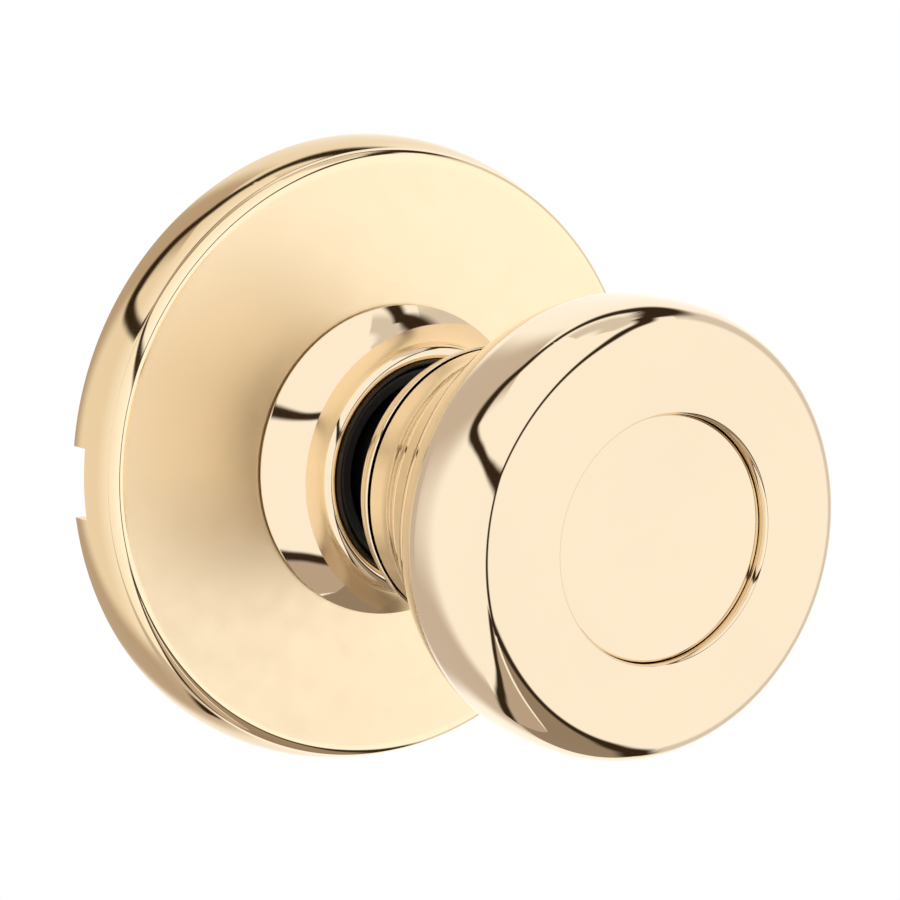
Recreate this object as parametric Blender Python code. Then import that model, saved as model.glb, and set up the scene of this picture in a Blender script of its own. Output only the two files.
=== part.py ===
"""One half of a passage door knob set: a brass knob on its round rose, and the chassis behind the rose.

Metres, +Z up. The origin is the centre of the rose's rear plane, which lies on the face of the door. The
knob's axis is the Y axis: -Y points out of the door towards the hand and +Y into the door. Turned outlines
are lists of (radius, out) points, where out is the distance out of the door's face, so y = -out.
"""

import math

import bmesh
import bpy
from mathutils import Matrix, Vector

GAP = 0.0003              # clearance that touching pieces keep
BRASS_SHEET = 0.0009      # thickness of the pressed brass shells
FINE_SEGMENTS = 40        # sides of the turned pieces in view
SEGMENTS = 24             # sides of the turned pieces inside
PIN_SEGMENTS = 16         # sides of pins, rivets and drilled holes
BRASS = (0.93, 0.74, 0.48)
BLUNT = 0.0003            # how much a blunted edge is broken

# Rose and collar
ROSE_RADIUS = 0.03335     # 66.7 mm rose
ROSE_DEPTH = 0.0065
ROSE_EDGE_RADIUS = 0.0012
ROSE_TAPER = 0.0012       # how far the rim leans in towards the front
ROSE_DOME = 0.0010        # rise of the front from its edge to the collar
ROSE_BORE_RADIUS = 0.0150
PRY_SLOT_HEIGHT = 0.0073
PRY_SLOT_DEPTH = 0.0020
COLLAR_BASE_RADIUS = 0.0163
COLLAR_WAIST = (0.01295, 0.0140)  # (radius, out) where the hollow flank ends below the lip
COLLAR_OUT = 0.0155       # front of the collar's lip
COLLAR_LIP_RADIUS = 0.0111
COLLAR_SPIGOT_RADIUS = 0.0147
BUSHING_RADIUS = 0.0120
BUSHING_OUT = (0.0054, 0.0122)

# Knob
KNOB_RADIUS = 0.02175     # widest ring of the knob
KNOB_WIDEST_OUT = 0.0457
KNOB_FACE_OUT = 0.0542
FACE_FLAT_RADIUS = 0.0166  # where the face starts to round over
FRONT_POWER = 3.27        # superellipse powers of the front and back round-overs
BACK_POWER = 1.69
BACK_CENTRE_RADIUS = 0.0108
BACK_DEPTH = 0.0122
RECESS_RADIUS = 0.0116
RECESS_DEPTH = 0.0010
NECK_RADIUS = 0.0140
NECK_FILLET_RADIUS = 0.0140
NECK_FILLET_TURN = math.radians(38.8)
SEAM_OUT = 0.0365         # where the knob's shell is crimped over its neck
NECK_RING_OUT = (0.0215, 0.0251)
NECK_RING_RADIUS = 0.0142

# Core, shank, sleeve and catch
CORE_HUB_RADIUS = 0.0126
CORE_FLANGE_RADIUS = 0.0200
CORE_BOSS_RADIUS = 0.0134
SHANK_RADIUS = 0.0092
SHANK_OUT = (0.0062, 0.0460)
SLEEVE_RADIUS = 0.0073
SLEEVE_BORE_RADIUS = 0.0056
SLEEVE_OUT = (-0.0115, 0.0380)
GROOVE_RADIUS = 0.0066
GROOVE_OUT = (0.0040, 0.0053)
CATCH_OUT = 0.0280
CATCH_RADIUS = 0.0022
CATCH_FLANGE_RADIUS = 0.0030
CATCH_TIP = -0.0090       # heights above the knob's axis
CATCH_SHOULDER = -0.0044
CATCH_TOP = -0.0034
CATCH_SPRING_RADIUS = 0.0015
CATCH_SPRING_WIRE = 0.00025
TOOL_HOLE_RADIUS = 0.0013

# Chassis
DOOR_BORE_RADIUS = 0.0270  # 54 mm (2-1/8 in) hole in the door, which the chassis reaches into
PLATE_RADIUS = 0.0315
PLATE_THICKNESS = 0.0015
PLATE_RIM_OUT = 0.0030
PLATE_RELIEF = 0.0002     # how far the plate's middle stands clear of the door
HOUSING_RADIUS = 0.0152
HOUSING_BORE_RADIUS = 0.0140
HOUSING_REAR = -0.0104
HOUSING_FLOOR = -0.0091
EAR_THICKNESS = 0.0013
EAR_HALF_WIDTH = 0.0040
EAR_REACH = 0.0210
POST_SPACING = 0.0381     # 1-1/2 in between the posts
POST_RADIUS = 0.0033
POST_REAR = -0.0180
POST_BORE_RADIUS = 0.0019
POST_BORE_END = -0.0050
POST_HEAD_RADIUS = 0.0038
POST_TENON_RADIUS = 0.0021
RIVET_HEIGHT = 0.0182
RIVET_RADIUS = 0.0012
RIVET_HEAD_RADIUS = 0.0024
RIVET_HEAD_THICKNESS = 0.0008
THRUST_WASHER_RADIUS = 0.0110
THRUST_WASHER_THICKNESS = 0.0008
WAVE_WASHER_RADIUS = 0.0104
WAVE_WASHER_REAR = 0.00325
WAVE_WASHER_THICKNESS = 0.0003
WAVE_HEIGHT = 0.00028
RETAINING_RING_RADIUS = 0.0095
CAM_OUT = (-0.0084, -0.0066)
CAM_RADIUS = 0.0104
LUG_RADIUS = 0.0134
LUG_HALF_ANGLE = math.radians(12.0)
TURN_LIMIT = math.radians(60.0)
STOP_HALF_WIDTH = 0.0014
STOP_REACH = 0.0116       # how near the stops come to the axis
TAB_HALF_WIDTH = 0.0016   # the cam's and the housing's spring tabs
SPRING_RADIUS = 0.0096
SPRING_WIRE = 0.00045
SPRING_OUT = (-0.0055, -0.0016)
SPRING_LEG_X = 0.0024
SPRING_LEG_TOP = 0.0135
SPINDLE_RADIUS = 0.0039
SPINDLE_FLAT = -0.0010    # height of the half-round spindle's flat
SPINDLE_OUT = (-0.0480, 0.0160)
SOCKET_OUT = (0.0060, 0.0140)
SPINDLE_PIN_OUT = 0.0100
SPINDLE_PIN_HEIGHT = 0.0012
SPINDLE_PIN_RADIUS = 0.0010


def clear_scene():
    for obj in list(bpy.data.objects):
        bpy.data.objects.remove(obj, do_unlink=True)


def finish(name, colour, roughness, metallic):
    """A Principled material."""
    material = bpy.data.materials.new(name)
    material.use_nodes = True
    shader = material.node_tree.nodes["Principled BSDF"]
    shader.inputs["Base Color"].default_value = (*colour, 1.0)
    shader.inputs["Roughness"].default_value = roughness
    shader.inputs["Metallic"].default_value = metallic
    return material


def axis_empty(name, location, parent=None):
    """An empty on a joint's axis, that the pieces which move together hang on."""
    empty = bpy.data.objects.new(name, None)
    empty.location = location
    empty.parent = parent
    bpy.context.scene.collection.objects.link(empty)
    return empty


def add(name, data, material=None, parent=None, location=(0.0, 0.0, 0.0)):
    """Links a new object for the mesh or curve, and gives it its own finish."""
    obj = bpy.data.objects.new(name, data)
    obj.location = location
    obj.parent = parent
    bpy.context.scene.collection.objects.link(obj)
    if material:
        data.materials.append(material)
    return obj


def mesh_from(bm, name):
    """A mesh with outward faces, shaded smooth but for its sharp edges."""
    bmesh.ops.recalc_face_normals(bm, faces=bm.faces)
    mesh = bpy.data.meshes.new(name)
    bm.to_mesh(mesh)
    bm.free()
    mesh.shade_smooth()
    mesh.set_sharp_from_angle(angle=math.radians(35.0))
    return mesh


def turned(name, outline, segments):
    """The closed (radius, out) outline turned once round the Y axis. A point of radius 0 is on the axis."""
    bm = bmesh.new()
    rings = []
    for radius, out in outline:
        if radius == 0.0:
            rings.append([bm.verts.new((0.0, -out, 0.0))] * segments)
            continue
        ring = []
        for step in range(segments):
            angle = math.tau * step / segments
            ring.append(bm.verts.new((radius * math.cos(angle), -out, radius * math.sin(angle))))
        rings.append(ring)
    for ring, other in zip(rings, rings[1:] + rings[:1]):
        for step in range(segments):
            after = (step + 1) % segments
            corners = dict.fromkeys([ring[step], ring[after], other[after], other[step]])
            if len(corners) > 2:
                bm.faces.new(list(corners))
    return mesh_from(bm, name)


def extruded(name, outline, rear, front):
    """The (x, z) outline as a slab between two distances out of the door."""
    bm = bmesh.new()
    base = bm.faces.new([bm.verts.new((x, -rear, z)) for x, z in outline])
    raised = bmesh.ops.extrude_face_region(bm, geom=[base])["geom"]
    moved = [item for item in raised if isinstance(item, bmesh.types.BMVert)]
    bmesh.ops.translate(bm, verts=moved, vec=(0.0, rear - front, 0.0))
    return mesh_from(bm, name)


def block(name, low, high, turn=0.0):
    """A box from its low to its high (x, out, z) corner, turned about the Y axis."""
    size = Vector((high[0] - low[0], high[1] - low[1], high[2] - low[2]))
    centre = Vector((low[0] + high[0], -(low[1] + high[1]), low[2] + high[2])) / 2.0
    matrix = Matrix.Rotation(turn, 4, "Y") @ Matrix.Translation(centre) @ Matrix.Diagonal((*size, 1.0))
    bm = bmesh.new()
    bmesh.ops.create_cube(bm, size=1.0, matrix=matrix)
    return mesh_from(bm, name)


def rod(name, radius, start, end, segments=PIN_SEGMENTS):
    """A straight round rod between two points."""
    run = Vector(end) - Vector(start)
    turn = run.to_track_quat("Z", "Y").to_matrix().to_4x4()
    matrix = Matrix.Translation((Vector(start) + Vector(end)) / 2.0) @ turn
    bm = bmesh.new()
    bmesh.ops.create_cone(
        bm, cap_ends=True, segments=segments, radius1=radius, radius2=radius, depth=run.length, matrix=matrix
    )
    return mesh_from(bm, name)


def wire(name, points, radius):
    """A round wire along the points, as a curve with filled ends."""
    curve = bpy.data.curves.new(name, "CURVE")
    curve.dimensions = "3D"
    curve.bevel_depth = radius
    curve.bevel_resolution = 1
    curve.use_fill_caps = True
    spline = curve.splines.new("POLY")
    spline.points.add(len(points) - 1)
    for point, place in zip(spline.points, points):
        point.co = (*place, 1.0)
    return curve


def combine(target, tool_name, tool_mesh, operation):
    """Cuts the tool from the target, or joins it on."""
    tool = add(tool_name, tool_mesh)
    tool.hide_render = True
    tool.display_type = "WIRE"
    modifier = target.modifiers.new(tool_name, "BOOLEAN")
    modifier.operation = operation
    modifier.object = tool


def drill(targets, name, radius, start, end):
    """The same round hole through several pieces."""
    for target in targets:
        combine(target, f"{name}_in_{target.name}", rod(name, radius, start, end), "DIFFERENCE")


def offset(points, distance):
    """The outline moved sideways by the distance, to the left of its direction."""
    moved = []
    for index, (radius, out) in enumerate(points):
        before = points[max(index - 1, 0)]
        after = points[min(index + 1, len(points) - 1)]
        run = Vector((after[0] - before[0], after[1] - before[1])).normalized()
        moved.append((radius - run.y * distance, out + run.x * distance))
    return moved


def superellipse(centre_radius, depth, power, steps, last=math.pi / 2.0):
    """A round-over of the knob, from its widest ring towards its face or, with a negative depth, its neck."""
    points = []
    for step in range(steps + 1):
        angle = last * step / steps
        radius = centre_radius + (KNOB_RADIUS - centre_radius) * math.cos(angle) ** (2.0 / power)
        points.append((radius, KNOB_WIDEST_OUT + depth * math.sin(angle) ** (2.0 / power)))
    return points


def rose_outline():
    """Pressed dish: a rim that curves in, a rounded edge and a slightly domed front with the collar's bore."""
    steps = 3
    edge_centre = (ROSE_RADIUS - ROSE_TAPER - ROSE_EDGE_RADIUS, ROSE_DEPTH - ROSE_EDGE_RADIUS)
    outer = []
    for step in range(steps):
        share = step / steps
        outer.append((ROSE_RADIUS - ROSE_TAPER * share ** 2, edge_centre[1] * share))
    for step in range(steps + 1):
        angle = math.pi / 2.0 * step / steps
        outer.append((
            edge_centre[0] + ROSE_EDGE_RADIUS * math.cos(angle),
            edge_centre[1] + ROSE_EDGE_RADIUS * math.sin(angle),
        ))
    for step in range(1, steps + 1):
        radius = edge_centre[0] + (ROSE_BORE_RADIUS - edge_centre[0]) * step / steps
        outer.append((radius, ROSE_DEPTH + dome_rise(radius, edge_centre[0])))
    inner = offset(outer, BRASS_SHEET)
    inner[0] = (ROSE_RADIUS - BRASS_SHEET, 0.0)
    return outer + inner[::-1]


def dome_rise(radius, edge_radius):
    """Height of the rose's domed front above its edge."""
    return ROSE_DOME * (edge_radius ** 2 - radius ** 2) / (edge_radius ** 2 - ROSE_BORE_RADIUS ** 2)


def collar_outline():
    """Collar: a hollow flank like a trumpet's and a rolled lip round the bushing, crimped behind the rose."""
    steps = 6
    foot = ROSE_DEPTH + ROSE_DOME + GAP
    crimp = COLLAR_SPIGOT_RADIUS + 0.0012
    waist, waist_out = COLLAR_WAIST
    flank = []
    for step in range(steps + 1):
        share = step / steps
        radius = waist + (COLLAR_BASE_RADIUS - waist) * (1.0 - share) ** 2
        flank.append((radius, foot + 0.0002 + (waist_out - foot - 0.0002) * share))
    return [
        (BUSHING_RADIUS + GAP, 0.0046),
        (crimp, 0.0046),
        (crimp, 0.0058),
        (COLLAR_SPIGOT_RADIUS, 0.0058),
        (COLLAR_SPIGOT_RADIUS, foot),
        (COLLAR_BASE_RADIUS, foot),
    ] + flank + [
        (waist - 0.0001, COLLAR_OUT - 0.0006),
        (waist - 0.0006, COLLAR_OUT - 0.0001),
        (waist - 0.0012, COLLAR_OUT),
        (COLLAR_LIP_RADIUS + 0.0002, COLLAR_OUT - 0.0001),
        (COLLAR_LIP_RADIUS, COLLAR_OUT - 0.0005),
        (COLLAR_LIP_RADIUS, BUSHING_OUT[1] + GAP),
        (BUSHING_RADIUS + GAP, BUSHING_OUT[1] + GAP),
    ]


def shell_outline():
    """Knob shell: from the crimped seam over the widest ring and the face to the lip of the recess."""
    seam_angle = math.asin(((KNOB_WIDEST_OUT - SEAM_OUT) / BACK_DEPTH) ** (BACK_POWER / 2.0))
    back = superellipse(BACK_CENTRE_RADIUS, -BACK_DEPTH, BACK_POWER, 5, seam_angle)
    front = superellipse(FACE_FLAT_RADIUS, KNOB_FACE_OUT - KNOB_WIDEST_OUT, FRONT_POWER, 7)
    lip = [
        (RECESS_RADIUS + BLUNT, KNOB_FACE_OUT),
        (RECESS_RADIUS, KNOB_FACE_OUT - BLUNT),
        (RECESS_RADIUS, KNOB_FACE_OUT - 0.0021),
    ]
    outer = back[::-1] + front[1:] + lip
    return outer + offset(outer, BRASS_SHEET)[::-1]


def neck_outline():
    """Knob neck: a straight tube that flares in a fillet up to the seam."""
    steps = 6
    fillet_start = SEAM_OUT - NECK_FILLET_RADIUS * math.sin(NECK_FILLET_TURN)
    last = NECK_FILLET_TURN - GAP / NECK_FILLET_RADIUS
    outer = [(NECK_RADIUS, NECK_RING_OUT[1] + GAP)]
    for step in range(steps + 1):
        angle = last * step / steps
        outer.append((
            NECK_RADIUS + NECK_FILLET_RADIUS * (1.0 - math.cos(angle)),
            fillet_start + NECK_FILLET_RADIUS * math.sin(angle),
        ))
    return outer + offset(outer, BRASS_SHEET)[::-1]


def neck_ring_outline():
    """End ring of the neck, with a rounded rear edge and a flat rear wall round the shank."""
    rear, front = NECK_RING_OUT
    bore = SHANK_RADIUS + GAP
    inside = CORE_HUB_RADIUS + GAP
    return [
        (bore, rear),
        (0.0122, rear),
        (0.0128, rear + 0.0003),
        (0.0135, rear + 0.0012),
        (NECK_RING_RADIUS, rear + 0.0026),
        (NECK_RING_RADIUS, front),
        (inside, front),
        (inside, rear + 0.0016),
        (bore, rear + 0.0016),
    ]


def core_outline():
    """Moulded core: a hub in the neck, a flange in the widest ring and a boss behind the centre disc."""
    bore = SHANK_RADIUS + GAP
    bore_end = 0.0463
    front = KNOB_FACE_OUT - 0.0025
    return [
        (bore, NECK_RING_OUT[0] + 0.0019),
        (CORE_HUB_RADIUS, NECK_RING_OUT[0] + 0.0019),
        (CORE_HUB_RADIUS, 0.0435),
        (CORE_FLANGE_RADIUS, 0.0435),
        (CORE_FLANGE_RADIUS, 0.0480),
        (CORE_BOSS_RADIUS, 0.0480),
        (CORE_BOSS_RADIUS, front),
        (0.0060, front),
        (0.0060, bore_end),
        (bore, bore_end),
    ]


def half_round(radius, flat):
    """Half-round section of the spindle: an arc closed by a flat at the given height."""
    steps = 12
    start = math.asin(flat / radius)
    outline = []
    for step in range(steps + 1):
        angle = start + (math.pi - 2.0 * start) * step / steps
        outline.append((radius * math.cos(angle), radius * math.sin(angle)))
    return outline


def cam_outline():
    """Round cam with one lug, which points up at rest."""
    steps = 24
    outline = []
    for step in range(steps + 1):
        angle = LUG_HALF_ANGLE + (math.tau - 2.0 * LUG_HALF_ANGLE) * step / steps
        outline.append((CAM_RADIUS * math.sin(angle), CAM_RADIUS * math.cos(angle)))
    for angle in (-LUG_HALF_ANGLE, 0.0, LUG_HALF_ANGLE):
        outline.append((LUG_RADIUS * math.sin(angle), LUG_RADIUS * math.cos(angle)))
    return outline


def rose_and_collar(chassis):
    """Rose with a pry slot in its rim, the collar in its bore, and the collar's nylon bushing."""
    brass = finish("rose_brass", BRASS, 0.08, 1.0)
    rose = add("rose_cover", turned("rose_cover", rose_outline(), FINE_SEGMENTS), brass, chassis)
    low = (-ROSE_RADIUS - 0.001, -0.001, -PRY_SLOT_HEIGHT / 2.0)
    high = (-ROSE_RADIUS + 0.002, PRY_SLOT_DEPTH, PRY_SLOT_HEIGHT / 2.0)
    combine(rose, "pry_slot", block("pry_slot", low, high), "DIFFERENCE")
    brass = finish("collar_brass", BRASS, 0.08, 1.0)
    add("neck_collar", turned("neck_collar", collar_outline(), FINE_SEGMENTS), brass, chassis)
    nylon = finish("bushing_nylon", (0.02, 0.02, 0.02), 0.5, 0.0)
    bore = SHANK_RADIUS + GAP
    rear, front = BUSHING_OUT
    outline = [(bore, rear), (BUSHING_RADIUS, rear), (BUSHING_RADIUS, front), (bore, front)]
    add("collar_bushing", turned("collar_bushing", outline, SEGMENTS), nylon, chassis)


def knob_shells(axis):
    """Pressed shells of the knob with the disc in the ringed face, the flared neck, its ring and the core."""
    brass = finish("knob_brass", BRASS, 0.07, 1.0)
    add("knob_shell", turned("knob_shell", shell_outline(), FINE_SEGMENTS), brass, axis)
    brass = finish("disc_brass", BRASS, 0.07, 1.0)
    edge = RECESS_RADIUS - GAP
    top = KNOB_FACE_OUT - RECESS_DEPTH
    rear = top - BRASS_SHEET - 0.0001
    outline = [(0.0, top), (edge - BLUNT, top), (edge, top - BLUNT), (edge, rear), (0.0, rear)]
    add("centre_disc", turned("centre_disc", outline, FINE_SEGMENTS), brass, axis)
    brass = finish("neck_brass", BRASS, 0.08, 1.0)
    neck = add("knob_neck", turned("knob_neck", neck_outline(), FINE_SEGMENTS), brass, axis)
    brass = finish("ring_brass", BRASS, 0.08, 1.0)
    add("neck_ring", turned("neck_ring", neck_ring_outline(), FINE_SEGMENTS), brass, axis)
    zinc = finish("core_zinc", (0.55, 0.55, 0.57), 0.5, 1.0)
    core = add("knob_core", turned("knob_core", core_outline(), SEGMENTS), zinc, axis)
    start = (0.0, -CATCH_OUT, -SHANK_RADIUS)
    drill([neck, core], "tool_hole", TOOL_HOLE_RADIUS, start, (0.0, -CATCH_OUT, -KNOB_RADIUS))


def drive_train(axis, catch_axis):
    """Shank of the knob, the sleeve it slides on, and the sprung catch that holds the knob on the sleeve."""
    steel = finish("shank_steel", (0.60, 0.60, 0.60), 0.3, 1.0)
    bore = SLEEVE_RADIUS + GAP
    rear, front = SHANK_OUT
    outline = [(bore, rear), (SHANK_RADIUS, rear), (SHANK_RADIUS, front), (bore, front)]
    shank = add("knob_shank", turned("knob_shank", outline, SEGMENTS), steel, axis)
    steel = finish("sleeve_steel", (0.58, 0.55, 0.45), 0.35, 1.0)
    outline = [
        (SLEEVE_BORE_RADIUS, SLEEVE_OUT[0]),
        (SLEEVE_RADIUS, SLEEVE_OUT[0]),
        (SLEEVE_RADIUS, GROOVE_OUT[0]),
        (GROOVE_RADIUS, GROOVE_OUT[0]),
        (GROOVE_RADIUS, GROOVE_OUT[1]),
        (SLEEVE_RADIUS, GROOVE_OUT[1]),
        (SLEEVE_RADIUS, SLEEVE_OUT[1]),
        (SLEEVE_BORE_RADIUS, SLEEVE_OUT[1]),
    ]
    sleeve = add("drive_sleeve", turned("drive_sleeve", outline, SEGMENTS), steel, axis)
    start = (0.0, -CATCH_OUT, 0.0)
    drill([shank, sleeve], "catch_hole", CATCH_RADIUS + GAP, start, (0.0, -CATCH_OUT, -0.0120))

    steel = finish("catch_steel", (0.62, 0.62, 0.63), 0.3, 1.0)
    pin = rod("knob_catch", CATCH_RADIUS, (0.0, 0.0, CATCH_TIP), (0.0, 0.0, CATCH_TOP - 0.0002))
    catch = add("knob_catch", pin, steel, catch_axis)
    flange = rod(
        "flange", CATCH_FLANGE_RADIUS, (0.0, -CATCH_OUT, CATCH_SHOULDER), (0.0, -CATCH_OUT, CATCH_TOP)
    )
    combine(catch, "catch_flange", flange, "UNION")
    spring_steel = finish("catch_spring_steel", (0.45, 0.45, 0.46), 0.35, 1.0)
    turns = 5
    points_a_turn = 10
    low = CATCH_TOP + CATCH_SPRING_WIRE + GAP / 2.0
    high = SLEEVE_BORE_RADIUS - CATCH_SPRING_WIRE - GAP - 0.0004
    points = []
    for step in range(turns * points_a_turn + 1):
        share = step / (turns * points_a_turn)
        angle = math.tau * turns * share
        x = CATCH_SPRING_RADIUS * math.cos(angle)
        y = CATCH_SPRING_RADIUS * math.sin(angle)
        points.append((x, y, low + (high - low) * share))
    add("catch_spring", wire("catch_spring", points, CATCH_SPRING_WIRE), spring_steel, catch_axis)
    return sleeve


def spindle_set(axis, sleeve):
    """Socket in the sleeve, the half-round spindle through it, and the pin through all three."""
    zinc = finish("socket_zinc", (0.50, 0.50, 0.52), 0.5, 1.0)
    rear, front = SOCKET_OUT
    radius = SLEEVE_BORE_RADIUS - GAP
    outline = [(0.0, rear), (radius, rear), (radius, front), (0.0, front)]
    socket = add("spindle_socket", turned("spindle_socket", outline, SEGMENTS), zinc, axis)
    hole = half_round(SPINDLE_RADIUS + GAP, SPINDLE_FLAT - GAP)
    combine(socket, "spindle_hole", extruded("spindle_hole", hole, rear - 0.001, front + 0.001), "DIFFERENCE")
    steel = finish("spindle_steel", (0.66, 0.64, 0.58), 0.3, 1.0)
    section = half_round(SPINDLE_RADIUS, SPINDLE_FLAT)
    spindle = add("spindle", extruded("spindle", section, *SPINDLE_OUT), steel, axis)
    steel = finish("spindle_pin_steel", (0.5, 0.5, 0.5), 0.3, 1.0)
    y, z = -SPINDLE_PIN_OUT, SPINDLE_PIN_HEIGHT
    reach = SLEEVE_RADIUS - 0.0004
    pin = rod("spindle_pin", SPINDLE_PIN_RADIUS, (-reach, y, z), (reach, y, z), 12)
    add("spindle_pin", pin, steel, axis)
    long = 2.0 * SLEEVE_RADIUS
    drill([socket, spindle, sleeve], "pin_hole", SPINDLE_PIN_RADIUS + GAP, (-long, y, z), (long, y, z))


def cam(axis):
    """Cam fixed on the sleeve's rear end, with a tab that reaches forward between the spring's legs."""
    steel = finish("cam_steel", (0.55, 0.53, 0.48), 0.4, 1.0)
    piece = add("drive_cam", extruded("drive_cam", cam_outline(), *CAM_OUT), steel, axis)
    low = (-TAB_HALF_WIDTH, CAM_OUT[1] - 0.0010, 0.0111)
    high = (TAB_HALF_WIDTH, SPRING_OUT[1] - 0.0002, 0.0122)
    combine(piece, "cam_tab", block("cam_tab", low, high), "UNION")
    y = -CAM_OUT[0] + 0.001
    bore = rod("cam_bore", SLEEVE_RADIUS + GAP, (0.0, -y, 0.0), (0.0, y, 0.0), SEGMENTS)
    combine(piece, "cam_bore", bore, "DIFFERENCE")


def washers(chassis, axis):
    """Nylon thrust washer on the plate, a three-wave spring washer, and the ring snapped into the sleeve."""
    nylon = finish("washer_nylon", (0.75, 0.73, 0.68), 0.5, 0.0)
    bore = SLEEVE_RADIUS + GAP
    rear = PLATE_THICKNESS + GAP
    front = rear + THRUST_WASHER_THICKNESS
    outline = [(bore, rear), (THRUST_WASHER_RADIUS, rear), (THRUST_WASHER_RADIUS, front), (bore, front)]
    add("thrust_washer", turned("thrust_washer", outline, SEGMENTS), nylon, chassis)

    spring_steel = finish("wave_washer_steel", (0.48, 0.48, 0.50), 0.3, 1.0)
    rear = WAVE_WASHER_REAR
    front = rear + WAVE_WASHER_THICKNESS
    outline = [(bore, rear), (WAVE_WASHER_RADIUS, rear), (WAVE_WASHER_RADIUS, front), (bore, front)]
    mesh = turned("wave_washer", outline, 36)
    for vertex in mesh.vertices:
        around = math.atan2(vertex.co.z, vertex.co.x)
        vertex.co.y -= WAVE_HEIGHT * math.cos(3.0 * around)
    add("wave_washer", mesh, spring_steel, chassis)

    steel = finish("retaining_ring_steel", (0.42, 0.42, 0.44), 0.35, 1.0)
    inner = GROOVE_RADIUS + GAP
    rear = GROOVE_OUT[0] + 0.0002
    front = rear + 0.0008
    outline = [(inner, rear), (RETAINING_RING_RADIUS, rear), (RETAINING_RING_RADIUS, front), (inner, front)]
    ring = add("retaining_ring", turned("retaining_ring", outline, SEGMENTS), steel, axis)
    mouth = block("ring_mouth", (-0.0020, 0.0, 0.0030), (0.0020, 0.0100, 0.0120))
    combine(ring, "ring_mouth", mouth, "DIFFERENCE")


def mounting_plate(chassis):
    """Plate on the door's face, with a turned-up rim that the rose snaps over, two posts and two rivets."""
    steel = finish("plate_steel", (0.55, 0.53, 0.46), 0.4, 1.0)
    bore = SLEEVE_RADIUS + GAP
    rim = PLATE_RADIUS - 0.0010
    outline = [
        (bore, PLATE_RELIEF),
        (DOOR_BORE_RADIUS - 0.0005, PLATE_RELIEF),
        (DOOR_BORE_RADIUS, 0.0),
        (PLATE_RADIUS, 0.0),
        (PLATE_RADIUS, PLATE_RIM_OUT),
        (rim, PLATE_RIM_OUT),
        (rim, PLATE_THICKNESS),
        (bore, PLATE_THICKNESS),
    ]
    plate = add("mounting_plate", turned("mounting_plate", outline, FINE_SEGMENTS), steel, chassis)
    for side, name in ((-1.0, "left"), (1.0, "right")):
        x = side * POST_SPACING / 2.0
        hole = rod("post_hole", POST_TENON_RADIUS + GAP, (x, -0.005, 0.0), (x, 0.005, 0.0))
        combine(plate, f"post_hole_{name}", hole, "DIFFERENCE")
        mounting_post(f"mounting_post_{name}", x, chassis)
    return plate


def mounting_post(name, x, chassis):
    """Threaded post staked into the plate. Its bore opens at the rear for the other half's screw."""
    steel = finish(f"{name}_steel", (0.60, 0.58, 0.50), 0.35, 1.0)
    head_rear = PLATE_THICKNESS + GAP
    head_front = head_rear + 0.0010
    outline = [
        (0.0, head_front),
        (POST_HEAD_RADIUS - 0.0005, head_front),
        (POST_HEAD_RADIUS, head_rear),
        (POST_TENON_RADIUS, head_rear),
        (POST_TENON_RADIUS, -GAP),
        (POST_RADIUS, -GAP),
        (POST_RADIUS, POST_REAR),
        (POST_BORE_RADIUS, POST_REAR),
        (POST_BORE_RADIUS, POST_BORE_END),
        (0.0, POST_BORE_END + 0.0010),
    ]
    add(name, turned(name, outline, PIN_SEGMENTS), steel, chassis, (x, 0.0, 0.0))


def spring_housing(chassis, plate):
    """Steel cup behind the plate, with two riveted ears, two stops for the cam's lug and a spring tab."""
    steel = finish("housing_steel", (0.55, 0.53, 0.46), 0.4, 1.0)
    bore = SLEEVE_RADIUS + GAP
    outline = [
        (HOUSING_BORE_RADIUS, -GAP),
        (HOUSING_RADIUS, -GAP),
        (HOUSING_RADIUS, HOUSING_REAR),
        (bore, HOUSING_REAR),
        (bore, HOUSING_FLOOR),
        (HOUSING_BORE_RADIUS, HOUSING_FLOOR),
    ]
    housing = add("spring_housing", turned("spring_housing", outline, SEGMENTS), steel, chassis)
    wall = (HOUSING_BORE_RADIUS + HOUSING_RADIUS) / 2.0
    stop_turn = TURN_LIMIT + LUG_HALF_ANGLE + math.radians(8.5)
    for side, name in ((-1.0, "lower"), (1.0, "upper")):
        ends = sorted((side * wall, side * EAR_REACH))
        low = (-EAR_HALF_WIDTH, -GAP - EAR_THICKNESS, ends[0])
        high = (EAR_HALF_WIDTH, -GAP, ends[1])
        combine(housing, f"ear_{name}", block("ear", low, high), "UNION")
        low = (-STOP_HALF_WIDTH, HOUSING_FLOOR - 0.0005, STOP_REACH)
        high = (STOP_HALF_WIDTH, CAM_OUT[1] + 0.0004, wall)
        stop = block("stop", low, high, side * stop_turn)
        combine(housing, f"stop_{name}", stop, "UNION")
        rivet(f"housing_rivet_{name}", side * RIVET_HEIGHT, chassis, [housing, plate])
    tab = block("tab", (-TAB_HALF_WIDTH, -0.0054, 0.0127), (TAB_HALF_WIDTH, -0.0018, wall))
    combine(housing, "spring_tab", tab, "UNION")


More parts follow.
